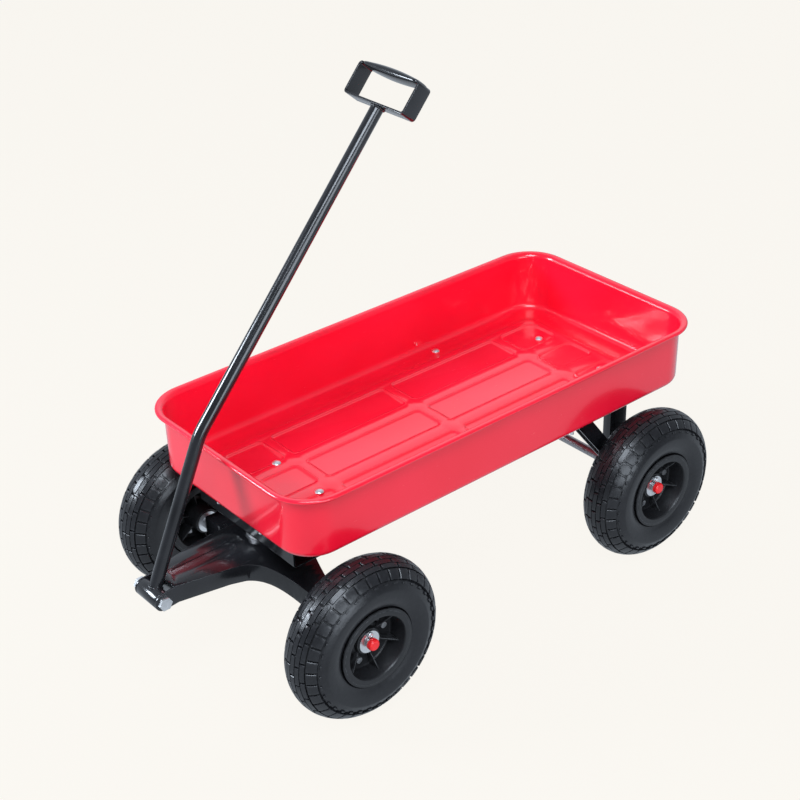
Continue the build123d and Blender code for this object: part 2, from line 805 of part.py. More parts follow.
def make_brace(side):
    """A channel brace from the axle up and forward to a foot under the tray."""
    near_y = leg_outer
    far_y = leg_outer + brace_width
    run_x = foot_x - brace_foot / 2 - rear_x
    run_z = foot_bottom - axle_height
    drop = brace_height * (run_x ** 2 + run_z ** 2) ** 0.5 / run_x / 2
    with BuildPart() as brace:
        with BuildSketch(Plane.XZ.offset(-side * near_y)):
            with BuildLine():
                Polyline(
                    (rear_x, axle_height + drop),
                    (foot_x - brace_foot / 2 - drop * run_x / run_z, tray_bottom),
                    (foot_x + brace_foot / 2, tray_bottom),
                    (foot_x + brace_foot / 2, foot_bottom),
                    (foot_x - brace_foot / 2 + drop * run_x / run_z, foot_bottom),
                    (rear_x, axle_height - drop),
                    close=True,
                )
            make_face()
            with Locations((rear_x, axle_height)):
                Circle(brace_height / 2)
        extrude(amount=-side * brace_width)
        # Hollow it from below, leaving the top skin, both flanges and the foot.
        with BuildSketch(Plane.XZ.offset(-side * (near_y + brace_sheet))):
            with BuildLine():
                Polyline(
                    (rear_x - brace_height, axle_height - tyre_radius),
                    (rear_x - brace_height,
                     axle_height + drop - 2 * brace_sheet - brace_height * run_z / run_x),
                    (foot_x - brace_foot / 2 - drop * run_x / run_z + brace_sheet, foot_bottom),
                    (foot_x + brace_foot, foot_bottom),
                    (foot_x + brace_foot, axle_height - tyre_radius),
                    close=True,
                )
            make_face()
        extrude(amount=-side * (brace_width - 2 * brace_sheet), mode=Mode.SUBTRACT)
        # Only the inner flange reaches the axle.
        with BuildSketch(Plane.XZ.offset(-side * (near_y + brace_sheet))):
            with Locations((rear_x, axle_height)):
                Circle(brace_height)
        extrude(amount=-side * brace_width, mode=Mode.SUBTRACT)
        with BuildSketch(Plane.XZ.offset(-side * near_y)):
            with Locations((rear_x, axle_height)):
                Circle(axle_hole_radius)
        extrude(amount=-side * brace_width, mode=Mode.SUBTRACT)
        with BuildSketch(Plane.XY.offset(foot_bottom)):
            with Locations(*brace_bolt_points):
                Circle(bolt_hole_radius)
        extrude(amount=brace_sheet, mode=Mode.SUBTRACT)
    return brace


save(make_brace(1), "rear_brace_left")
save(make_brace(-1), "rear_brace_right")


# ---- Handle ----------------------------------------------------------------

def leaning(start, lean, length):
    """The point reached by going up from a start while leaning back."""
    return (
        start[0] - length * sin(radians(lean)),
        start[1] + length * cos(radians(lean)),
    )


pivot_point = (pivot_x, pivot_height)
bend_point = leaning(pivot_point, lower_lean, lower_length)
tube_top_point = leaning(bend_point, upper_lean, upper_length)
tube_start = leaning(pivot_point, lower_lean, pivot_radius * 0.6)

with BuildPart() as handle_tube:
    with BuildLine(Plane.XZ) as handle_line:
        FilletPolyline(tube_start, bend_point, tube_top_point, radius=handle_bend_radius)
    start_plane = Plane(
        origin=(tube_start[0], 0, tube_start[1]),
        z_dir=(-sin(radians(lower_lean)), 0, cos(radians(lower_lean))),
    )
    with BuildSketch(start_plane):
        Circle(tube_radius)
        Circle(tube_radius - handle_tube_wall, mode=Mode.SUBTRACT)
    sweep(path=handle_line.wire())
    with BuildSketch(Plane.XZ.offset(-pivot_barrel_length)):
        with Locations(pivot_point):
            Circle(pivot_radius)
    extrude(amount=2 * pivot_barrel_length, mode=Mode.SUBTRACT)
save(handle_tube, "handle_tube")

with BuildPart() as hitch_barrel:
    with BuildSketch(Plane.XZ.offset(-pivot_barrel_length / 2)):
        with Locations(pivot_point):
            Circle(pivot_radius)
            Circle(pivot_bush_diameter / 2, mode=Mode.SUBTRACT)
    extrude(amount=pivot_barrel_length)
save(hitch_barrel, "hitch_barrel")

with BuildPart() as hitch_bushes:
    for side in (-1, 1):
        with BuildSketch(Plane.XZ.offset(-side * pivot_barrel_length / 2)):
            with Locations(pivot_point):
                Circle(pivot_bush_diameter / 2)
                Circle(pivot_bolt_diameter / 2 + running_fit, mode=Mode.SUBTRACT)
        extrude(amount=side * pivot_bush_length)
save(hitch_bushes, "hitch_bushes")

with BuildPart() as pivot_bolt:
    with BuildSketch(Plane.XZ.offset(-yoke_nose_half_width)):
        with Locations(pivot_point):
            RegularPolygon(pivot_head_width / 2, 6, major_radius=False)
    extrude(amount=-pivot_head_height)
    with BuildSketch(Plane.XZ.offset(-yoke_nose_half_width)):
        with Locations(pivot_point):
            Circle(pivot_bolt_diameter / 2)
    extrude(amount=2 * yoke_nose_half_width + pivot_nut_height + thread_show)
    thread_end = pivot_bolt.edges().filter_by(GeomType.CIRCLE).sort_by(Axis.Y)[0]
    chamfer(thread_end, length=thread_chamfer)
save(pivot_bolt, "pivot_bolt")

with BuildPart() as pivot_nut:
    with BuildSketch(Plane.XZ.offset(yoke_nose_half_width)):
        with Locations(pivot_point):
            RegularPolygon(pivot_head_width / 2, 6, major_radius=False)
            Circle(pivot_bolt_diameter / 2, mode=Mode.SUBTRACT)
    extrude(amount=pivot_nut_height)
save(pivot_nut, "pivot_nut")


# ---- Grip ------------------------------------------------------------------

# In the grip's plane, local X runs across the wagon and local Y up the handle.
grip_plane = Plane(
    origin=(tube_top_point[0], 0, tube_top_point[1]),
    x_dir=(0, 1, 0),
    z_dir=(cos(radians(upper_lean)), 0, sin(radians(upper_lean))),
)
sleeve_length = grip_width - 2 * grip_strip - 2 * sleeve_gap
bar_centre = grip_height - grip_strip / 2

with BuildPart() as grip_loop:
    with BuildSketch(grip_plane):
        with Locations((0, grip_height / 2)):
            RectangleRounded(grip_width, grip_height, grip_corner_radius)
            RectangleRounded(
                grip_width - 2 * grip_strip,
                grip_height - 2 * grip_strip,
                grip_corner_radius - grip_strip,
                mode=Mode.SUBTRACT,
            )
    extrude(amount=grip_depth / 2, both=True)
    # The bar inside the sleeve is narrower than the rest of the strip.
    notch = (grip_depth - grip_core_depth) / 2
    for face in (-1, 1):
        with BuildSketch(grip_plane.offset(face * grip_core_depth / 2)):
            with Locations((0, bar_centre)):
                Rectangle(sleeve_length, grip_strip + joint_overlap)
        extrude(amount=face * (notch + joint_overlap), mode=Mode.SUBTRACT)
save(grip_loop, "grip_loop")

bar_origin = grip_plane.from_local_coords((0, bar_centre, 0))

with BuildPart() as grip_sleeve:
    for place, depth, thickness in (
        (-sleeve_length / 2, sleeve_end_depth, sleeve_end_thickness),
        (0, sleeve_depth, sleeve_thickness),
        (sleeve_length / 2, sleeve_end_depth, sleeve_end_thickness),
    ):
        section = Plane(
            origin=(bar_origin.X, place, bar_origin.Z),
            x_dir=grip_plane.z_dir,
            z_dir=(0, 1, 0),
        )
        with BuildSketch(section):
            RectangleRounded(depth, thickness, sleeve_end_thickness / 2 - 0.2)
    loft()
    with BuildSketch(grip_plane.offset(-grip_core_depth / 2)):
        with Locations((0, bar_centre)):
            Rectangle(sleeve_length, grip_strip)
    extrude(amount=grip_core_depth, mode=Mode.SUBTRACT)
save(grip_sleeve, "grip_sleeve")


# ---- Wheels ----------------------------------------------------------------

bead_radius = tyre_radius - tyre_section + bead_depth
barrel_outer = bead_radius - seat_clearance
barrel_inner = barrel_outer - rim_barrel_wall
section_centre = tyre_radius - section_radius
cavity_radius = section_radius - tyre_wall
cavity_centre = tyre_radius - tyre_tread - cavity_radius
tube_radius_outer = min(cavity_radius, cavity_centre - barrel_outer) - seat_clearance
hub_radius = hub_diameter / 2
bearing_radius = bearing_diameter / 2
hub_bore = axle_radius + hub_bore_clearance
lip_radius = bead_radius + rim_lip_height
lip_inner = (section_radius ** 2 - (section_centre - lip_radius) ** 2) ** 0.5 + rim_lip_gap
rim_half_width = lip_inner + rim_lip_thickness
bolt_circle_radius = (hub_radius + barrel_inner) / 2
rim_bolt_radius = rim_bolt_diameter / 2
rib_step = 360 / rib_count
valve_angle = first_rib + rib_step * 3.5
bolt_step = 360 / rim_bolt_count


def make_wheel(corner, wheel_x, side):
    """Build the seven pieces of one wheel. Local X is radial, local Y outboard."""

    def radial_plane(angle):
        radial = Vector(cos(radians(angle)), 0, sin(radians(angle)))
        outboard = Vector(0, side, 0)
        return Plane(
            origin=(wheel_x, side * track / 2, axle_height),
            x_dir=radial,
            z_dir=radial.cross(outboard),
        )

    def face_plane(outboard):
        return Plane(
            origin=(wheel_x, side * (track / 2 + outboard), axle_height),
            x_dir=(1, 0, 0),
            z_dir=(0, side, 0),
        )

    spin_axis = Axis((wheel_x, side * track / 2, axle_height), (0, 1, 0))
    section = radial_plane(90)
    valve_radial = radial_plane(valve_angle)
    bolt_points = [
        (bolt_circle_radius * cos(radians(angle)), bolt_circle_radius * sin(radians(angle)))
        for angle in [first_rib + rib_step / 2 + bolt_step * k for k in range(rim_bolt_count)]
    ]
    face_points = [(x, -side * z) for x, z in bolt_points]

    with BuildPart() as tyre:
        with BuildSketch(section):
            with Locations((section_centre, 0)):
                Circle(section_radius)
            for edge in (-1, 1):
                bead_y = edge * (lip_inner - seat_clearance - bead_width / 2)
                with Locations((bead_radius + bead_height / 2, bead_y)):
                    Rectangle(bead_height, bead_width)
            with Locations((cavity_centre, 0)):
                Circle(cavity_radius, mode=Mode.SUBTRACT)
            with Locations((bead_radius / 2, 0)):
                Rectangle(bead_radius, tyre_section, mode=Mode.SUBTRACT)
            well_width = 2 * (lip_inner - seat_clearance - bead_width)
            with Locations((cavity_centre / 2, 0)):
                Rectangle(cavity_centre, well_width, mode=Mode.SUBTRACT)
        revolve(axis=spin_axis)
    save(tyre, f"tyre_{corner}")

    with BuildPart() as inner_tube:
        with BuildSketch(section):
            with Locations((cavity_centre, 0)):
                Circle(tube_radius_outer)
                Circle(tube_radius_outer - tube_wall, mode=Mode.SUBTRACT)
        revolve(axis=spin_axis)
    save(inner_tube, f"inner_tube_{corner}")

    for half, facing, hub_end in (("outer", 1, hub_outboard), ("inner", -1, hub_inboard)):
        with BuildPart() as rim:
            with BuildSketch(section):
                with BuildLine():
                    Polyline(
                        *[(radius, facing * depth) for radius, depth in (
                            (hub_bore, 0),
                            (hub_bore, hub_end - bearing_width),
                            (bearing_radius, hub_end - bearing_width),
                            (bearing_radius, hub_end),
                            (hub_radius, hub_end),
                            (hub_radius, rim_web),
                            (barrel_inner, rim_web),
                            (barrel_inner, rim_half_width),
                            (lip_radius, rim_half_width),
                            (lip_radius, lip_inner),
                            (barrel_outer, lip_inner),
                            (barrel_outer, 0),
                        )],
                        close=True,
                    )
                make_face()
            revolve(axis=spin_axis)
            for k in range(rib_count):
                with BuildSketch(radial_plane(first_rib + rib_step * k)):
                    with BuildLine():
                        Polyline(
                            (hub_radius - joint_overlap, facing * (rim_web - joint_overlap)),
                            (hub_radius - joint_overlap, facing * rib_inner_height),
                            (barrel_inner + joint_overlap, facing * rib_outer_height),
                            (barrel_inner + joint_overlap, facing * (rim_web - joint_overlap)),
                            close=True,
                        )
                    make_face()
                extrude(amount=rib_thickness / 2, both=True)
            with BuildSketch(face_plane(0)):
                with Locations(*face_points):
                    Circle(rim_bolt_radius + bolt_hole_clearance)
            extrude(amount=facing * rim_web, mode=Mode.SUBTRACT)
            if facing > 0:
                hole_start = (barrel_inner - joint_overlap, valve_offset, 0)
                valve_plane = Plane(
                    origin=valve_radial.from_local_coords(hole_start),
                    z_dir=valve_radial.x_dir,
                )
                with BuildSketch(valve_plane):
                    Circle(valve_diameter / 2 + bolt_hole_clearance)
                extrude(amount=rim_barrel_wall + 2 * joint_overlap, mode=Mode.SUBTRACT)
        save(rim, f"rim_{half}_{corner}")

    with BuildPart() as rim_bolts:
        with BuildSketch(face_plane(rim_web)):
            with Locations(*face_points):
                Circle(rim_bolt_head_diameter / 2)
        extrude(amount=rim_bolt_head_height)
        with BuildSketch(face_plane(rim_web)):
            with Locations(*face_points):
                Circle(rim_bolt_radius)
        extrude(amount=-(2 * rim_web + rim_nut_height + thread_show))
        with BuildSketch(face_plane(-rim_web)):
            with Locations(*face_points):
                RegularPolygon(rim_nut_width / 2, 6, major_radius=False)
        extrude(amount=-rim_nut_height)
    save(rim_bolts, f"rim_bolts_{corner}")

    with BuildPart() as wheel_bearings:
        for start, direction in ((hub_outboard, -1), (-hub_inboard, 1)):
            with BuildSketch(face_plane(start)):
                Circle(bearing_radius)
                Circle(axle_radius + running_fit, mode=Mode.SUBTRACT)
            extrude(amount=direction * bearing_width)
            with BuildSketch(face_plane(start)):
                Circle(bearing_radius - bearing_seal_inset)
                Circle(axle_radius + bearing_seal_inset, mode=Mode.SUBTRACT)
            extrude(amount=direction * bearing_seal_depth, mode=Mode.SUBTRACT)
    save(wheel_bearings, f"wheel_bearings_{corner}")

    with BuildPart() as valve_stem:
        near_edge = valve_offset - valve_diameter / 2
        valve_top = cavity_centre - (tube_radius_outer ** 2 - near_edge ** 2) ** 0.5
        stem_plane = Plane(
            origin=valve_radial.from_local_coords((valve_top, valve_offset, 0)),
            z_dir=-valve_radial.x_dir,
        )
        with BuildSketch(stem_plane):
            Circle(valve_diameter / 2)
        extrude(amount=valve_length)
        chamfer(
            valve_stem.faces().sort_by(Axis(stem_plane.origin, stem_plane.z_dir))[-1].edges(),
            length=thread_chamfer,
        )
    save(valve_stem, f"valve_stem_{corner}")


for corner, wheel_x, side in (
    ("front_left", front_x, 1),
    ("front_right", front_x, -1),
    ("rear_left", rear_x, 1),
    ("rear_right", rear_x, -1),
):
    make_wheel(corner, wheel_x, side)
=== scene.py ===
from math import atan2, cos, degrees, pi, radians, sin, sqrt

import bmesh
import bpy
from mathutils import Matrix, Vector


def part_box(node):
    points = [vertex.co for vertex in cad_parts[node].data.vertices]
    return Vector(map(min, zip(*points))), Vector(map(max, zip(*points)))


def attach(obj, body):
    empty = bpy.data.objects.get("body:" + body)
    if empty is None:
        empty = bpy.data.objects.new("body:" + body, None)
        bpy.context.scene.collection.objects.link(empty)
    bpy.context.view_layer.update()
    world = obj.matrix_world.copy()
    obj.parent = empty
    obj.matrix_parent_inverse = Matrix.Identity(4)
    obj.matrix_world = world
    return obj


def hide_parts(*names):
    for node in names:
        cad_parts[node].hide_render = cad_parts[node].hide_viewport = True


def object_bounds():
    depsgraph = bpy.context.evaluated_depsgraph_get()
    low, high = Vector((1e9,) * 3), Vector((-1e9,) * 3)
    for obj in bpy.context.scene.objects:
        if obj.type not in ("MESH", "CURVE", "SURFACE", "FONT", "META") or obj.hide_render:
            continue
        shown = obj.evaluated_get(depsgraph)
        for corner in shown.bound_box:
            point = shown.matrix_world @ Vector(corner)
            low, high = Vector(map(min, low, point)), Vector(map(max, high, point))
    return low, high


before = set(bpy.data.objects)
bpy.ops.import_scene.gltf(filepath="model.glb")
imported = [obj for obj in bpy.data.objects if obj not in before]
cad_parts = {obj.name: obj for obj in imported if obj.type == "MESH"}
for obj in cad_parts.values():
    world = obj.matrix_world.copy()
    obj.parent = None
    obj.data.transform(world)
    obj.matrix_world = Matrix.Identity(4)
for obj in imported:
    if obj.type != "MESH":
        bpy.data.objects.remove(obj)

cad_low, cad_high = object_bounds()
scene = bpy.context.scene
MM = 0.001

# ---- Camera -----------------------------------------------------------------
# A longish lens looks down over the wagon's front left corner.
# It stands a little out of level.

aim = Vector((-0.0637, -0.0755, 0.2692))
azimuth, elevation, roll = radians(140.62), radians(30.22), radians(-1.64)
distance = 2.6337
towards = Vector((sin(azimuth) * cos(elevation), -cos(azimuth) * cos(elevation), sin(elevation)))
level_right = (-towards).cross(Vector((0, 0, 1))).normalized()
level_up = level_right.cross(-towards)
right = level_right * cos(roll) + level_up * sin(roll)
up = level_up * cos(roll) - level_right * sin(roll)

camera = bpy.data.objects.new("camera", bpy.data.cameras.new("camera"))
scene.collection.objects.link(camera)
camera.data.lens = 72
camera.data.sensor_width = 36
camera.matrix_world = Matrix.Translation(aim + towards * distance) @ Matrix(
    (right, up, towards)).transposed().to_4x4()
scene.camera = camera

# ---- Floor, room light and lamps --------------------------------------------
# A seamless warm white floor that holds no shadow. The room is bright behind
# the wagon and dim on the camera's side, with four soft lamps round it.


class Value:
    """A number that varies over a surface; arithmetic on it adds Math nodes."""

    def __init__(self, shading, socket):
        self.shading = shading
        self.socket = socket

    def math(self, operation, first, second):
        return self.shading.node(
            "ShaderNodeMath", {"operation": operation}, {0: first, 1: second})

    def __add__(self, other):
        return self.math("ADD", self, other)

    __radd__ = __add__

    def __rsub__(self, other):
        return self.math("SUBTRACT", other, self)

    def __mul__(self, other):
        return self.math("MULTIPLY", self, other)

    __rmul__ = __mul__


class Shading:
    """The nodes of one material or of the room's light."""

    def __init__(self, tree):
        self.tree = tree

    def node(self, kind, settings, inputs, output=0):
        """Add a node: its settings first, then the values or links of its sockets."""
        made = self.tree.nodes.new(kind)
        for name, value in settings.items():
            setattr(made, name, value)
        for name, value in inputs.items():
            if isinstance(value, Value):
                self.tree.links.new(value.socket, made.inputs[name])
            else:
                made.inputs[name].default_value = value
        return Value(self, made.outputs[output])

    def between(self, value, low, high, out_low=0.0, out_high=1.0):
        """Spread a value from low..high over out_low..out_high, held at the ends."""
        return self.node("ShaderNodeMapRange", {}, {
            "Value": value, "From Min": low, "From Max": high,
            "To Min": out_low, "To Max": out_high})


paper_white = (0.947, 0.921, 0.871, 1)
cool_white = (0.80, 0.89, 1.0, 1)
scene.view_settings.view_transform = "Standard"
scene.world = scene.world or bpy.data.worlds.new("room")
scene.world.use_nodes = True
room = Shading(scene.world.node_tree)
look = room.node("ShaderNodeTexCoord", {}, {}, "Generated")
height = room.node("ShaderNodeSeparateXYZ", {}, {"Vector": look}, "Z")
far_side = room.node(
    "ShaderNodeVectorMath", {"operation": "DOT_PRODUCT"},
    {0: look, 1: (-towards.x, -towards.y, 0.25)}, "Value")
above = room.between(far_side, -0.15, 0.75, 0.22, 0.62)
glow = above + room.between(height, -0.10, 0.05, 1, 0) * (0.66 - above)
seen = room.node("ShaderNodeLightPath", {}, {}, "Is Camera Ray")
backdrop = scene.world.node_tree.nodes["Background"]
tint = room.node(
    "ShaderNodeMix", {"data_type": "RGBA"}, {0: seen, 6: cool_white, 7: paper_white}, 2)
scene.world.node_tree.links.new(tint.socket, backdrop.inputs["Color"])
scene.world.node_tree.links.new((glow + seen * (1 - glow)).socket, backdrop.inputs["Strength"])

floor_mesh = bmesh.new()
floor_gap = 0.5 * MM
floor_reach = 30
bmesh.ops.create_grid(floor_mesh, x_segments=2, y_segments=2, size=floor_reach)
bmesh.ops.translate(floor_mesh, verts=floor_mesh.verts, vec=(0, 0, cad_low.z - floor_gap))
floor_data = bpy.data.meshes.new("floor")
floor_mesh.to_mesh(floor_data)
floor_mesh.free()
floor = bpy.data.objects.new("floor", floor_data)
scene.collection.objects.link(floor)
floor.visible_diffuse = False
floor.visible_glossy = False
floor_paint = bpy.data.materials.new("floor_paper")
floor_paint.use_nodes = True
floor_shader = floor_paint.node_tree.nodes["Principled BSDF"]
floor_shader.inputs["Base Color"].default_value = (0.02, 0.0195, 0.0185, 1)
floor_shader.inputs["Roughness"].default_value = 1.0
floor_shader.inputs["Specular IOR Level"].default_value = 0.0
floor_shader.inputs["Emission Color"].default_value = paper_white
floor_shader.inputs["Emission Strength"].default_value = 0.985
floor_data.materials.append(floor_paint)


def soft_lamp(name, place, target, size, power):
    """A square soft lamp at a place, facing a target."""
    lamp = bpy.data.lights.new(name, "AREA")
    lamp.shape = "SQUARE"
    lamp.size = size
    lamp.energy = power
    lamp.color = cool_white[:3]
    holder = bpy.data.objects.new(name, lamp)
    scene.collection.objects.link(holder)
    facing = (Vector(target) - Vector(place)).to_track_quat("-Z", "Y")
    holder.matrix_world = Matrix.Translation(place) @ facing.to_matrix().to_4x4()


soft_lamp("key_lamp", (1.1, 1.3, 2.6), (0, 0, 0.3), 1.4, 68)
soft_lamp("side_lamp", (0.5, 2.7, 0.9), (0, 0, 0.25), 1.5, 36)
soft_lamp("back_lamp", (-1.9, -1.9, 2.4), (0, 0, 0.3), 2.6, 10)
soft_lamp("front_lamp", (2.2, -1.5, 1.5), (0.1, 0, 0.4), 0.9, 88)

# ---- Tray -------------------------------------------------------------------
# One pressing of thin steel sheet in glossy red enamel: nearly upright walls,
# a rim flared out and rolled under, and a floor stiffened by a raised field
# with twelve shallow panels sunk into it.

tray_low, tray_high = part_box("tray")
tray_x = (tray_low.x + tray_high.x) / 2
sheet = 1.2 * MM
rim_overhang = 13 * MM
wall_corner = 57 * MM
half_length = (tray_high.x - tray_low.x) / 2 - rim_overhang
half_width = tray_high.y - rim_overhang
floor_top = tray_low.z + sheet
rim_top = tray_high.z


class Finish(Shading):
    """One material, built from nodes on the Object coordinates of its piece."""

    def __init__(self, name):
        self.material = bpy.data.materials.new(name)
        self.material.use_nodes = True
        super().__init__(self.material.node_tree)
        self.shader = self.tree.nodes["Principled BSDF"]
        self.place = self.node("ShaderNodeTexCoord", {}, {}, "Object")

    def stretched(self, scale, turn=(0, 0, 0)):
        """The piece's coordinates, scaled and turned."""
        return self.node("ShaderNodeMapping", {}, {
            "Vector": self.place, "Scale": scale, "Rotation": turn})

    def noise(self, scale, detail=3.0, rough=0.55, vector=None):
        return self.node("ShaderNodeTexNoise", {}, {
            "Vector": vector or self.place, "Scale": scale, "Detail": detail, "Roughness": rough})

    def cells(self, scale, vector=None, feature="F1"):
        return self.node("ShaderNodeTexVoronoi", {"feature": feature}, {
            "Vector": vector or self.place, "Scale": scale})

    def blend(self, amount, first, second):
        """A colour between two others."""
        return self.node("ShaderNodeMix", {"data_type": "RGBA"}, {
            0: amount, 6: first, 7: second}, 2)

    def bump(self, height, depth, under=None):
        """A bump node of a given depth in metres."""
        inputs = {"Height": height, "Distance": depth, "Strength": 1.0}
        if under:
            inputs["Normal"] = under
        return self.node("ShaderNodeBump", {}, inputs)

    def edges(self):
        """A mask that is 1 on worn outer edges and 0 on flat faces."""
        pointed = self.node("ShaderNodeNewGeometry", {}, {}, "Pointiness")
        return self.between(pointed, 0.52, 0.60)

    def finish(self, **sockets):
        """Link or set the shader's sockets, named with underscores for spaces."""
        for name, value in sockets.items():
            socket = self.shader.inputs[name.replace("_", " ")]
            if isinstance(value, Value):
                self.tree.links.new(value.socket, socket)
            else:
                socket.default_value = value
        return self.material


def red_enamel():
    """Thick glossy red enamel with faint orange peel, dust and fine rub marks."""
    paint = Finish("red_enamel")
    cloud = paint.noise(5, 2)
    colour = paint.blend(
        paint.between(cloud, 0.35, 0.65), (0.90, 0.005, 0.026, 1), (0.97, 0.008, 0.036, 1))
    dust = paint.between(paint.noise(900, 2, 0.7), 0.66, 0.80, 0, 0.10)
    colour = paint.blend(dust, colour, (0.95, 0.35, 0.33, 1))
    rubs = paint.noise(60, 3, 0.6, paint.stretched((1, 14, 14), (0, 0, 0.3)))
    rubs = paint.between(rubs, 0.60, 0.75)
    rough = 0.17 + 0.05 * cloud + 0.10 * rubs
    peel = paint.bump(paint.noise(260, 2, 0.5), 0.00003)
    ripple = paint.bump(paint.noise(9, 1, 0.4), 0.0009, peel)
    return paint.finish(
        Base_Color=colour, Roughness=rough, Normal=ripple, Coat_Weight=0.45,
        Coat_Roughness=0.06, Specular_IOR_Level=0.5)


def piece(name, mesh, material, body, slot, *nodes, sharp=35):
    """Make an object of a bmesh, finish it and ride it on its body."""
    data = bpy.data.meshes.new(name)
    mesh.to_mesh(data)
    mesh.free()
    for face in data.polygons:
        face.use_smooth = True
    data.set_sharp_from_angle(angle=radians(sharp))
    data.materials.append(material)
    made = bpy.data.objects.new(name, data)
    scene.collection.objects.link(made)
    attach(made, body)
    if nodes:
        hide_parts(*nodes)
    return made


def arc(mesh, centre, radius, start, stop, count):
    """Points on an arc in the XZ plane, from one angle to another in degrees."""
    points = []
    for k in range(count + 1):
        angle = radians(start + (stop - start) * k / count)
        points.append(mesh.verts.new(
            (centre[0] + radius * cos(angle), 0, centre[1] + radius * sin(angle))))
    return points


def rounded_loop(mesh, centre, length, width, corner, height, steps=6):
    """A closed loop of edges round a rectangle with rounded corners."""
    ring = []
    for k in range(4):
        sign_x = (1, -1, -1, 1)[k]
        sign_y = (1, 1, -1, -1)[k]
        at_x = centre[0] + sign_x * (length / 2 - corner)
        at_y = centre[1] + sign_y * (width / 2 - corner)
        for step in range(steps + 1):
            angle = pi / 2 * (k + step / steps)
            ring.append(mesh.verts.new(
                (at_x + corner * cos(angle), at_y + corner * sin(angle), height)))
    return [mesh.edges.new((a, b)) for a, b in zip(ring, ring[1:] + ring[:1])]


def stepped_face(mesh, loop, rise, run, steps=6):
    """Fill a loop and press its middle up or down over a soft S-shaped step."""
    face = bmesh.ops.contextual_create(mesh, geom=loop)["faces"][0]
    face.normal_update()
    if face.normal.z < 0:
        face.normal_flip()
    before = 0.0
    for k in range(1, steps + 1):
        share = 0.5 - 0.5 * cos(pi * k / steps)
        bmesh.ops.inset_region(
            mesh, faces=[face], thickness=run / steps, depth=(share - before) * rise,
            use_even_offset=True, use_boundary=True)
        before = share
    return face


tray_mesh = bmesh.new()

# The wall and rim: a line from floor to rolled edge, carried round the corners.
# The turned parts of the line are arcs: the foot, the flare and the rolled edge.
bend = 10.8 * MM
flare = 9.6 * MM
curl = 3.2 * MM
draft = 1.0 * MM
wall_face = -sheet
line = arc(tray_mesh, (wall_face - draft - bend, floor_top + bend), bend, -90, 0, 7)
line += arc(tray_mesh, (wall_face + flare, rim_top - flare), flare, 180, 90, 6)
line += arc(tray_mesh, (rim_overhang - curl, rim_top - curl), curl, 90, -110, 10)
foot = tray_mesh.verts.new((wall_face - 20 * MM, 0, floor_top))
line.insert(0, foot)
profile = [tray_mesh.edges.new((a, b)) for a, b in zip(line, line[1:])]
bmesh.ops.translate(tray_mesh, verts=line, vec=(tray_x + half_length, 0, 0))
straight = (half_width - wall_corner, 2 * (half_length - wall_corner),
            2 * (half_width - wall_corner), 2 * (half_length - wall_corner),
            half_width - wall_corner)
heading = Vector((0, 1, 0))
corner_at = Vector((tray_x + half_length - wall_corner, half_width - wall_corner, 0))
for side, length in enumerate(straight):
    grown = bmesh.ops.extrude_edge_only(tray_mesh, edges=profile)["geom"]
    moved = [g for g in grown if isinstance(g, bmesh.types.BMVert)]
    profile = [g for g in grown if isinstance(g, bmesh.types.BMEdge)]
    bmesh.ops.translate(tray_mesh, verts=moved, vec=heading * length)
    if side == 4:
        break
    turned = bmesh.ops.spin(
        tray_mesh, geom=profile + moved, cent=corner_at, axis=(0, 0, 1), angle=pi / 2, steps=14,
        use_duplicate=False)["geom_last"]
    profile = [g for g in turned if isinstance(g, bmesh.types.BMEdge)]
    heading = Matrix.Rotation(pi / 2, 3, "Z") @ heading
    corner_at = corner_at + heading * straight[side + 1]
bmesh.ops.remove_doubles(tray_mesh, verts=tray_mesh.verts, dist=0.02 * MM)

# The floor: border, raised field, sunk panels and the flat land between them.
field_inset = 63 * MM
field_rise = 4.3 * MM
panel_depth = 2.5 * MM
step_run = 7 * MM
field_length = tray_high.x - tray_low.x - 2 * field_inset
field_width = tray_high.y - tray_low.y - 2 * field_inset
level_match = 0.01 * MM
border = [e for e in tray_mesh.edges if e.is_boundary
          and all(abs(v.co.z - floor_top) < level_match for v in e.verts)]
field_corner = 24 * MM
field_loop = rounded_loop(
    tray_mesh, (tray_x, 0), field_length + step_run, field_width + step_run, field_corner,
    floor_top, 8)
field_face = stepped_face(tray_mesh, field_loop, field_rise, step_run)
bmesh.ops.triangle_fill(tray_mesh, edges=border + field_loop, use_beauty=True, normal=(0, 0, 1))

land = list(field_face.edges)
bmesh.ops.delete(tray_mesh, geom=[field_face], context="FACES_ONLY")
field_top = floor_top + field_rise
land_x, land_y = 14 * MM, 23.5 * MM
margin_front, margin_rear, margin_side = 30 * MM, 12.5 * MM, 16 * MM
short_front, short_rear, middle_width = 74 * MM, 84 * MM, 63 * MM
panel_corner, rear_panel_corner, panel_growth = 11 * MM, 16 * MM, 1 * MM
long_panel = (
    field_length - margin_front - margin_rear - short_front - short_rear - 3 * land_x) / 2
side_width = (field_width - 2 * margin_side - middle_width - 2 * land_y) / 2
panel_front = tray_x + field_length / 2 - margin_front
for column, length in enumerate((short_front, long_panel, long_panel, short_rear)):
    for row in (-1, 0, 1):
        width = side_width if row else middle_width
        at_y = row * (middle_width / 2 + land_y + side_width / 2)
        corner = rear_panel_corner if column == 3 else panel_corner
        loop = rounded_loop(
            tray_mesh, (panel_front - length / 2, at_y), length + panel_growth,
            width + panel_growth, corner, field_top)
        stepped_face(tray_mesh, loop, -panel_depth, step_run)
        land += loop
    panel_front -= length + land_x
bmesh.ops.triangle_fill(tray_mesh, edges=land, use_beauty=True, normal=(0, 0, 1))
bmesh.ops.recalc_face_normals(tray_mesh, faces=tray_mesh.faces)
level_faces = [f for f in tray_mesh.faces if abs(f.normal.z) > 0.9
               and f.calc_center_median().z < rim_top - 50 * MM]
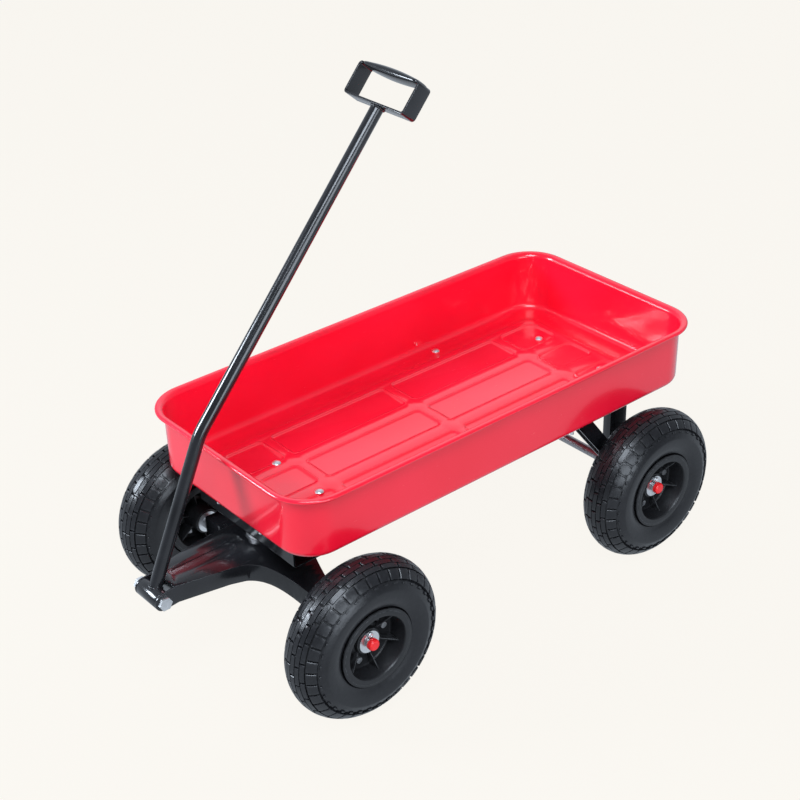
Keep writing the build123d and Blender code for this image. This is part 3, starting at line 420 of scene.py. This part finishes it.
if max(level_faces, key=lambda f: f.calc_area()).normal.z < 0:
    bmesh.ops.reverse_faces(tray_mesh, faces=tray_mesh.faces)
tray = piece("tray_shell", tray_mesh, red_enamel(), "wagon", "tray_red", "tray", sharp=60)
skin = tray.modifiers.new("sheet", "SOLIDIFY")
skin.thickness = sheet
skin.offset = -1

# ---- Bolts, washers and nuts under the tray ---------------------------------
# Zinc plated steel fasteners. The round heads show on the tray's floor.


def zinc_plate():
    """Bright zinc plate with soft spangle, faint brushing and darker pits."""
    metal = Finish("zinc_plate")
    spangle = metal.cells(300)
    cloud = metal.noise(120, 3)
    colour = metal.blend(
        metal.between(cloud, 0.3, 0.7), (0.78, 0.79, 0.80, 1), (0.93, 0.94, 0.95, 1))
    colour = metal.blend(
        metal.between(metal.noise(700, 2), 0.64, 0.75, 0, 0.5), colour, (0.25, 0.24, 0.22, 1))
    rough = 0.24 + 0.12 * cloud + 0.06 * spangle
    grain = metal.bump(metal.noise(900, 2), 0.00002)
    return metal.finish(Base_Color=colour, Metallic=1.0, Roughness=rough, Normal=grain)


zinc = zinc_plate()


def dress(material, *names):
    """Give CAD nodes a finish in place of their plain one."""
    for name in names:
        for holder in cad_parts[name].material_slots:
            holder.material = material


dress(zinc, "tray_front_bolts", "tray_rear_bolts", "tray_brace_bolts", "tray_washers",
      "tray_nuts", "kingpin_bolt", "kingpin_nut", "front_axle_washers", "rear_axle_washers",
      "front_cotter_pins", "rear_cotter_pins", "pivot_bolt", "pivot_nut")

# ---- Bare steel running gear ------------------------------------------------
# Turned axles, spacers and the two plates that the steering turns on,
# lightly oiled and darker than the plated pieces.


def oiled_steel():
    """Turned steel under a film of oil, with rust freckles."""
    metal = Finish("oiled_steel")
    rings = metal.noise(300, 2, 0.5, metal.stretched((0.2, 1, 0.2)))
    rust = metal.between(metal.noise(70, 4, 0.7), 0.58, 0.70, 0, 0.8)
    colour = metal.blend(
        metal.between(rings, 0.3, 0.7), (0.30, 0.30, 0.31, 1), (0.46, 0.46, 0.47, 1))
    colour = metal.blend(rust, colour, (0.13, 0.05, 0.025, 1))
    rough = 0.30 + 0.20 * rings + 0.3 * rust
    return metal.finish(
        Base_Color=colour, Metallic=1.0 - 0.8 * rust, Roughness=rough,
        Normal=metal.bump(rings, 0.00003))


dress(oiled_steel(), "bolster_wear_plate", "steering_thrust_plate", "front_axle", "rear_axle",
      "front_axle_spacers", "rear_axle_spacers")

# ---- Black frame pressings --------------------------------------------------
# Bolster, yoke, rear bracket and braces: 3 mm steel bent to shape and enamelled
# gloss black, so that every bend and cut edge is a little rounded.


def black_enamel():
    """Gloss black enamel with orange peel, a little dust and faint rub marks."""
    paint = Finish("black_enamel")
    cloud = paint.noise(14, 3)
    colour = paint.blend(
        paint.between(cloud, 0.35, 0.65), (0.006, 0.006, 0.007, 1), (0.013, 0.013, 0.015, 1))
    dust = paint.between(paint.noise(620, 2, 0.7), 0.70, 0.82, 0, 0.05)
    colour = paint.blend(dust, colour, (0.08, 0.078, 0.075, 1))
    rubs = paint.between(paint.noise(50, 3, 0.6, paint.stretched((1, 9, 9))), 0.58, 0.75)
    rough = 0.16 + 0.07 * cloud + 0.10 * rubs
    peel = paint.bump(paint.noise(240, 2), 0.00001)
    return paint.finish(
        Base_Color=colour, Roughness=rough, Normal=peel, Coat_Weight=0.35, Coat_Roughness=0.08)


black = black_enamel()


def trim_gussets(mesh):
    """Slope the front foot of the yoke's two gussets back, clear of its arms' edge."""
    for vert in mesh.verts:
        if 35 * MM < abs(vert.co.y) < 42 * MM and vert.co.z < 121 * MM and vert.co.x > 283 * MM:
            vert.co.x -= 14 * MM


def eased(name, node, width, body, slot, material):
    """A copy of a CAD node whose sharp edges are rounded by a width."""
    mesh = bmesh.new()
    mesh.from_mesh(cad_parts[node].data)
    bmesh.ops.remove_doubles(mesh, verts=mesh.verts, dist=0.004 * MM)
    bmesh.ops.dissolve_limit(
        mesh, angle_limit=radians(1), verts=mesh.verts, edges=mesh.edges,
        use_dissolve_boundaries=False)
    sharp = [e for e in mesh.edges if e.is_manifold and e.calc_face_angle(0) > radians(32)]
    bmesh.ops.bevel(
        mesh, geom=sharp, affect="EDGES", offset=width, offset_type="OFFSET", segments=2,
        profile=0.5, material=-1, clamp_overlap=True)
    if node == "steering_yoke":
        trim_gussets(mesh)
    return piece(name, mesh, material, body, slot, node, sharp=40)


for node_name, bend_width, body_name in (
    ("front_bolster", 0.7 * MM, "wagon"),
    ("rear_bracket", 0.7 * MM, "wagon"),
    ("rear_brace_left", 0.6 * MM, "wagon"),
    ("rear_brace_right", 0.6 * MM, "wagon"),
    ("steering_yoke", 1.0 * MM, "steering"),
):
    eased(node_name + "_pressing", node_name, bend_width, body_name, "frame_black", black)

# ---- Handle -----------------------------------------------------------------
# A steel tube with one bend, welded to a barrel that turns between the yoke's
# cheeks. Tube, barrel and the strip loop of the grip share the black enamel.

dress(black, "handle_tube")
eased("hitch_barrel_turned", "hitch_barrel", 0.8 * MM, "handle", "frame_black", black)


def nylon():
    """Natural nylon, faintly yellow and slightly grained."""
    plastic = Finish("nylon")
    cloud = plastic.noise(80, 3)
    colour = plastic.blend(cloud, (0.60, 0.58, 0.50, 1), (0.72, 0.70, 0.63, 1))
    return plastic.finish(
        Base_Color=colour, Roughness=0.45 + 0.1 * cloud, Normal=plastic.bump(cloud, 0.00005))


dress(nylon(), "hitch_bushes")

upper_lean = radians(40.8)
lower_lean = radians(24.6)
upward = Vector((-sin(upper_lean), 0, cos(upper_lean)))
outward = Vector((cos(upper_lean), 0, sin(upper_lean)))
loop_low, loop_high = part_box("grip_loop")
loop_centre = (loop_low + loop_high) / 2
grip_height = 52 * MM
strip = 3 * MM


def weld_bead(name, centre, axis, radius, size, ripples, body):
    """A rippled ring of weld round a joint."""
    mesh = bmesh.new()
    bmesh.ops.create_circle(mesh, segments=8, radius=size)
    bmesh.ops.rotate(mesh, verts=mesh.verts, matrix=Matrix.Rotation(pi / 2, 3, "X"))
    bmesh.ops.translate(mesh, verts=mesh.verts, vec=(radius, 0, 0))
    bmesh.ops.spin(
        mesh, geom=mesh.verts[:] + mesh.edges[:], cent=(0, 0, 0), axis=(0, 0, 1), angle=2 * pi,
        steps=ripples * 6, use_merge=True, use_duplicate=False)
    for vert in mesh.verts:
        angle = atan2(vert.co.y, vert.co.x)
        flat = Vector((vert.co.x, vert.co.y, 0)).normalized() * radius
        swell = 0.82 + 0.22 * abs(sin(angle * ripples / 2)) + 0.14 * sin(angle * 3 + 1)
        vert.co = flat + (vert.co - flat) * swell
    turn = Vector((0, 0, 1)).rotation_difference(axis).to_matrix().to_4x4()
    bmesh.ops.transform(mesh, verts=mesh.verts, matrix=Matrix.Translation(centre) @ turn)
    bmesh.ops.recalc_face_normals(mesh, faces=mesh.faces)
    return piece(name, mesh, black, body, "frame_black", sharp=80)


tube_radius = 10 * MM
bead_size, bead_ripples = 2 * MM, 13
tube_top = loop_centre - upward * grip_height / 2
weld_bead(
    "grip_weld", tube_top - upward * 1 * MM, upward, tube_radius, bead_size, bead_ripples,
    "handle")
barrel_low, barrel_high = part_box("hitch_barrel")
pivot = (barrel_low + barrel_high) / 2
lower_up = Vector((-sin(lower_lean), 0, cos(lower_lean)))
weld_bead(
    "barrel_weld", pivot + lower_up * 11.5 * MM, lower_up, tube_radius, bead_size, bead_ripples,
    "handle")

# ---- Grip -------------------------------------------------------------------
# A flat strip bent into a loop, with a moulded sleeve round its top that
# swells in the middle to fill the palm.

eased("grip_strip", "grip_loop", 0.5 * MM, "handle", "frame_black", black)


def moulded_grip():
    """Black moulded plastic, satin from handling."""
    plastic = Finish("moulded_grip")
    cloud = plastic.noise(40, 3)
    colour = plastic.blend(cloud, (0.008, 0.008, 0.009, 1), (0.020, 0.020, 0.022, 1))
    rough = 0.14 + 0.10 * cloud
    grain = plastic.bump(plastic.cells(700), 0.000006)
    return plastic.finish(Base_Color=colour, Roughness=rough, Normal=grain, Coat_Weight=0.2)


sleeve_mesh = bmesh.new()
sleeve_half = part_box("grip_sleeve")[1].y
end_depth, palm_depth = 14.2 * MM, 2.8 * MM
end_thickness, palm_thickness = 3.2 * MM, 3.8 * MM
end_round, squareness = 0.035, 0.72
rings = 28
bmesh.ops.create_circle(sleeve_mesh, segments=36, radius=1, cap_ends=True)
bmesh.ops.translate(sleeve_mesh, verts=sleeve_mesh.verts, vec=(0, 0, -sleeve_half))
cap = sleeve_mesh.faces[:]
for k in range(rings):
    grown = bmesh.ops.extrude_face_region(sleeve_mesh, geom=cap)["geom"]
    cap = [g for g in grown if isinstance(g, bmesh.types.BMFace)]
    moved = [g for g in grown if isinstance(g, bmesh.types.BMVert)]
    bmesh.ops.translate(sleeve_mesh, verts=moved, vec=(0, 0, 2 * sleeve_half / rings))
    left = [f for f in sleeve_mesh.faces if len(f.verts) > 4 and f not in cap
            and f.calc_center_median().z > level_match - sleeve_half]
    bmesh.ops.delete(sleeve_mesh, geom=left, context="FACES_ONLY")
for vert in sleeve_mesh.verts:
    share = abs(vert.co.z) / sleeve_half
    swell = cos(share * pi / 2) ** 0.9 if share < 1 else 0.0
    tuck = sqrt(max(0.0, 1 - max(0.0, (share - 1 + end_round) / end_round) ** 2)) * 0.25 + 0.75
    half_depth = (end_depth + palm_depth * swell) * tuck
    half_thick = (end_thickness + palm_thickness * swell) * tuck
    angle = atan2(vert.co.y, vert.co.x)
    vert.co.x = half_thick * abs(cos(angle)) ** squareness * (1 if cos(angle) >= 0 else -1)
    vert.co.y = half_depth * abs(sin(angle)) ** squareness * (1 if sin(angle) >= 0 else -1)
sleeve_frame = Matrix((upward, outward, Vector((0, 1, 0)))).transposed().to_4x4()
bar_centre = loop_centre + upward * (grip_height / 2 - strip / 2)
bmesh.ops.transform(
    sleeve_mesh, verts=sleeve_mesh.verts, matrix=Matrix.Translation(bar_centre) @ sleeve_frame)
bmesh.ops.recalc_face_normals(sleeve_mesh, faces=sleeve_mesh.faces)
piece("grip_palm", sleeve_mesh, moulded_grip(), "handle", "grip_black", "grip_sleeve", sharp=60)

# ---- Tyres ------------------------------------------------------------------
# Pneumatic tyres in black rubber. Six rows of long narrow blocks cover the
# crown, square lugs grip on both shoulders, and the side walls are smooth.


def tyre_rubber():
    """Matt black rubber with pale scuffs on the tread and bloom on the walls."""
    rubber = Finish("tyre_rubber")
    cloud = rubber.noise(25, 4, 0.6)
    colour = rubber.blend(cloud, (0.005, 0.005, 0.006, 1), (0.011, 0.011, 0.013, 1))
    bloom = rubber.between(rubber.noise(160, 4, 0.7), 0.52, 0.72, 0, 0.30)
    colour = rubber.blend(bloom, colour, (0.026, 0.026, 0.029, 1))
    scuff = rubber.edges() * rubber.between(rubber.noise(300, 3), 0.45, 0.6)
    colour = rubber.blend(scuff * 0.5, colour, (0.06, 0.06, 0.065, 1))
    rough = 0.20 + 0.22 * cloud + 0.1 * bloom
    grain = rubber.bump(rubber.noise(1200, 2), 0.00005)
    grain = rubber.bump(rubber.noise(110, 3), 0.00022, grain)
    return rubber.finish(Base_Color=colour, Roughness=rough, Normal=grain)


rubber = tyre_rubber()
corners = ("front_left", "front_right", "rear_left", "rear_right")
section_radius = 41.5 * MM
tyre_radius = 130 * MM
section_centre = tyre_radius - section_radius
groove_level = 37.6 * MM
tyre_steps = 288
block_rows = 6
wall_recess = 0.5 * MM

# Turns round the section in degrees from the crown: rows, lugs, bars and wall.
row_pitch, groove_turn = 11.6, 1.9
lug_near, lug_far = 37.5, 59
bar_near, bar_far = 64, 68
wall_start, wall_full = 60, 84
wall_ridges = (82, 122)
ring_turns = []
for row in range(block_rows // 2):
    ring_turns += [row * row_pitch + groove_turn / 2, (row + 1) * row_pitch - groove_turn / 2]
ring_turns += [lug_near, (lug_near + lug_far) / 2, lug_far, 61.5, bar_near, bar_far]
ring_turns += [74, 80, 82, 84, 90, 98, 106, 114, 120, 122, 124, 132, 140]


def section_level(turn):
    """How far the bare carcass lies from the middle of its section."""
    if turn <= wall_start:
        return groove_level
    if turn in wall_ridges:
        return section_radius
    share = min(1.0, (turn - wall_start) / (wall_full - wall_start))
    level = groove_level + (section_radius - groove_level) * share ** 0.6
    return level - wall_recess if turn > wall_full else level


tyre_mesh = bmesh.new()
outline = []
for turn in [-t for t in reversed(ring_turns)] + ring_turns:
    level = section_level(abs(turn))
    outline.append(tyre_mesh.verts.new(
        (section_centre + level * cos(radians(turn)), level * sin(radians(turn)), 0)))
for place in ((57, 33), (55, 31), (55, 25), (62, 24), (73, 31), (88, 35), (108, 28), (122, 0),
              (108, -28), (88, -35), (73, -31), (62, -24), (55, -25), (55, -31), (57, -33)):
    outline.append(tyre_mesh.verts.new((place[0] * MM, place[1] * MM, 0)))
outline_edges = [tyre_mesh.edges.new((a, b)) for a, b in zip(outline, outline[1:] + outline[:1])]
bmesh.ops.spin(
    tyre_mesh, geom=outline + outline_edges, cent=(0, 0, 0), axis=(0, 1, 0), angle=2 * pi,
    steps=tyre_steps, use_merge=True, use_duplicate=False)
bmesh.ops.recalc_face_normals(tyre_mesh, faces=tyre_mesh.faces)


def from_axle(point):
    """How far a point lies from the wheel's axle."""
    return sqrt(point.x ** 2 + point.z ** 2)


def tread_kind(face):
    """What stands on a face: 0 for nothing, 1 for a block or lug, 2 for a small bar."""
    middle = face.calc_center_median()
    around = from_axle(middle)
    turn = degrees(atan2(middle.y, around - section_centre))
    inner = sqrt((around - section_centre) ** 2 + middle.y ** 2)
    if inner < groove_level - 2.5 * MM:
        return 0
    step = int((atan2(middle.z, middle.x) % (2 * pi)) / (2 * pi) * tyre_steps)
    out = abs(turn)
    if out < block_rows / 2 * row_pitch:
        row = int(out / row_pitch)
        within = out - row * row_pitch
        if within < groove_turn / 2 or within > row_pitch - groove_turn / 2:
            return 0
        shift = (0, 6, 3)[row] if turn > 0 else (6, 6, 9)[row]
        return 0 if (step + shift) % 12 == 0 else 1
    if lug_near < out < lug_far:
        return 0 if (step + (4 if turn > 0 else 0)) % 8 == 0 else 1
    if bar_near < out < bar_far:
        return 2 if (step + (4 if turn > 0 else 0)) % 8 in (3, 4, 5) else 0
    return 0


def raise_faces(mesh, faces, top_level, shoulder):
    """Extrude faces out to a level round the section and round their top edges."""
    grown = bmesh.ops.extrude_face_region(mesh, geom=faces)["geom"]
    tops = [g for g in grown if isinstance(g, bmesh.types.BMFace)]
    for vert in [g for g in grown if isinstance(g, bmesh.types.BMVert)]:
        around = from_axle(vert.co)
        ring = Vector((vert.co.x / around, 0, vert.co.z / around)) * section_centre
        arm = vert.co - ring
        vert.co = ring + arm * (top_level / arm.length)
    top_set = set(tops)
    rims = [e for f in tops for e in f.edges if sum(g in top_set for g in e.link_faces) == 1]
    bmesh.ops.bevel(
        mesh, geom=list(set(rims)), affect="EDGES", offset=shoulder, offset_type="OFFSET",
        segments=1, profile=0.5, material=-1, clamp_overlap=True)


kinds = {face: tread_kind(face) for face in tyre_mesh.faces}
old_blocks = [f for f, kind in kinds.items() if kind == 1]
old_bars = [f for f, kind in kinds.items() if kind == 2]
bar_level, bar_shoulder = section_radius - 0.2 * MM, 0.4 * MM
block_level, block_shoulder = section_radius - 0.02 * MM, 0.7 * MM
raise_faces(tyre_mesh, old_bars, bar_level, bar_shoulder)
raise_faces(tyre_mesh, [f for f in old_blocks if f.is_valid], block_level, block_shoulder)
tyre_source = bpy.data.meshes.new("tyre_source")
tyre_mesh.to_mesh(tyre_source)
tyre_mesh.free()


def wheel_place(corner):
    """The transform from a wheel at the origin, outboard along Y, to its corner."""
    low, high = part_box("tyre_" + corner)
    turn = Matrix.Rotation(0 if corner.endswith("left") else pi, 4, "Z")
    return Matrix.Translation((low + high) / 2) @ turn


for corner in corners:
    copy = bmesh.new()
    copy.from_mesh(tyre_source)
    bmesh.ops.transform(copy, verts=copy.verts, matrix=wheel_place(corner))
    piece("tyre_tread_" + corner, copy, rubber, "wheel_" + corner, "tyre_rubber",
          "tyre_" + corner, sharp=35)
    dress(rubber, "inner_tube_" + corner, "valve_stem_" + corner)

# ---- Rims -------------------------------------------------------------------
# Each rim is two halves moulded in black plastic and bolted together: a broad
# flat lip, a deep well, a hub for the bearing and six thin ribs.


def rim_plastic():
    """Satin black plastic with moulding grain and faint pale scuffs."""
    plastic = Finish("rim_plastic")
    cloud = plastic.noise(35, 3)
    colour = plastic.blend(cloud, (0.006, 0.006, 0.007, 1), (0.012, 0.012, 0.013, 1))
    worn = plastic.edges() * plastic.between(plastic.noise(160, 3), 0.45, 0.6)
    colour = plastic.blend(worn * 0.5, colour, (0.08, 0.08, 0.085, 1))
    rough = 0.34 + 0.16 * cloud
    grain = plastic.bump(plastic.noise(900, 2), 0.00004)
    return plastic.finish(Base_Color=colour, Roughness=rough, Normal=grain)


moulded = rim_plastic()
rim_web = 5 * MM
barrel_inner, barrel_outer = 51 * MM, 54.5 * MM
lip_radius, lip_face, lip_back = 64 * MM, 38.5 * MM, 35 * MM
hub_radius, bearing_radius, hub_bore = 21 * MM, 17.5 * MM, 9.5 * MM
bearing_depth = 11 * MM
rib_count, first_rib, rib_reach = 6, -100, 27 * MM
rib_top, rib_foot, rib_overlap = 2.2 * MM, 3.2 * MM, 1 * MM
outer_hub_end, inner_hub_end = 16 * MM, 47 * MM


def rim_half(facing, hub_end):
    """One moulded half at the origin: facing is 1 outboard and -1 inboard."""
    mesh = bmesh.new()
    corners_2d = (
        (hub_bore, 0), (hub_bore, hub_end - bearing_depth),
        (bearing_radius, hub_end - bearing_depth), (bearing_radius, hub_end),
        (hub_radius, hub_end), (hub_radius + 1.5 * MM, rim_web + 5 * MM),
        (hub_radius + 7 * MM, rim_web + 3.5 * MM), (hub_radius + 7.5 * MM, rim_web),
        (barrel_inner - 2 * MM, rim_web),
        (barrel_inner - 0.5 * MM, rim_web + 2 * MM), (barrel_inner, lip_back),
        (barrel_inner + 1.5 * MM, lip_face),
        (lip_radius - 4 * MM, lip_face), (lip_radius - 3.4 * MM, lip_face - 0.5 * MM),
        (lip_radius, lip_face - 0.5 * MM),
        (lip_radius, lip_back), (barrel_outer, lip_back), (barrel_outer, 0))
    ring = [mesh.verts.new((r, facing * a, 0)) for r, a in corners_2d]
    edges = [mesh.edges.new((a, b)) for a, b in zip(ring, ring[1:] + ring[:1])]
    bmesh.ops.spin(
        mesh, geom=ring + edges, cent=(0, 0, 0), axis=(0, 1, 0), angle=2 * pi, steps=96,
        use_merge=True, use_duplicate=False)
    bmesh.ops.recalc_face_normals(mesh, faces=mesh.faces)
    sharp = [e for e in mesh.edges if e.calc_face_angle(0) > radians(25)]
    bmesh.ops.bevel(
        mesh, geom=sharp, affect="EDGES", offset=0.6 * MM, offset_type="OFFSET", segments=2,
        profile=0.5, material=-1, clamp_overlap=True)
    for k in range(rib_count):
        rib = bmesh.new()
        for vert in bmesh.ops.create_cube(rib, size=1)["verts"]:
            at_lip, on_top = vert.co.x > 0, vert.co.y > 0
            reach = rib_reach if at_lip else min(hub_end - 4 * MM, rib_reach)
            vert.co.x = barrel_inner + rib_overlap if at_lip else hub_radius - rib_overlap
            vert.co.z *= rib_top if on_top else rib_foot
            vert.co.y = facing * (reach if on_top else rim_web - rib_overlap)
        bmesh.ops.recalc_face_normals(rib, faces=rib.faces)
        bmesh.ops.bevel(
            rib, geom=rib.edges[:], affect="EDGES", offset=0.5 * MM, offset_type="OFFSET",
            segments=2, profile=0.5, material=-1, clamp_overlap=True)
        turn = Matrix.Rotation(-radians(first_rib + 360 / rib_count * k), 3, "Y")
        bmesh.ops.rotate(rib, verts=rib.verts, cent=(0, 0, 0), matrix=turn)
        cut = bpy.data.meshes.new("rib")
        rib.to_mesh(cut)
        rib.free()
        mesh.from_mesh(cut)
        bpy.data.meshes.remove(cut)
    return mesh


for corner in corners:
    for half, facing, hub_end in (("outer", 1, outer_hub_end), ("inner", -1, inner_hub_end)):
        mesh = rim_half(facing, hub_end)
        place = wheel_place(corner)
        if corner.endswith("right"):
            place = place @ Matrix.Scale(-1, 4, (1, 0, 0))
        bmesh.ops.transform(mesh, verts=mesh.verts, matrix=place)
        if corner.endswith("right"):
            bmesh.ops.reverse_faces(mesh, faces=mesh.faces)
        piece(f"rim_{half}_half_{corner}", mesh, moulded, "wheel_" + corner, "rim_black",
              f"rim_{half}_{corner}", sharp=40)
    dress(zinc, "rim_bolts_" + corner, "wheel_bearings_" + corner)

# ---- Axle caps --------------------------------------------------------------
# Push-on caps in bright red plastic close the ends of both axles.


def cap_plastic():
    """Bright red plastic, slightly cloudy."""
    plastic = Finish("cap_plastic")
    cloud = plastic.noise(90, 3)
    colour = plastic.blend(cloud, (0.80, 0.006, 0.010, 1), (0.95, 0.016, 0.018, 1))
    return plastic.finish(
        Base_Color=colour, Roughness=0.32 + 0.12 * cloud,
        Normal=plastic.bump(plastic.noise(500, 2), 0.00004), Coat_Weight=0.2)


dress(cap_plastic(), "front_axle_caps", "rear_axle_caps")
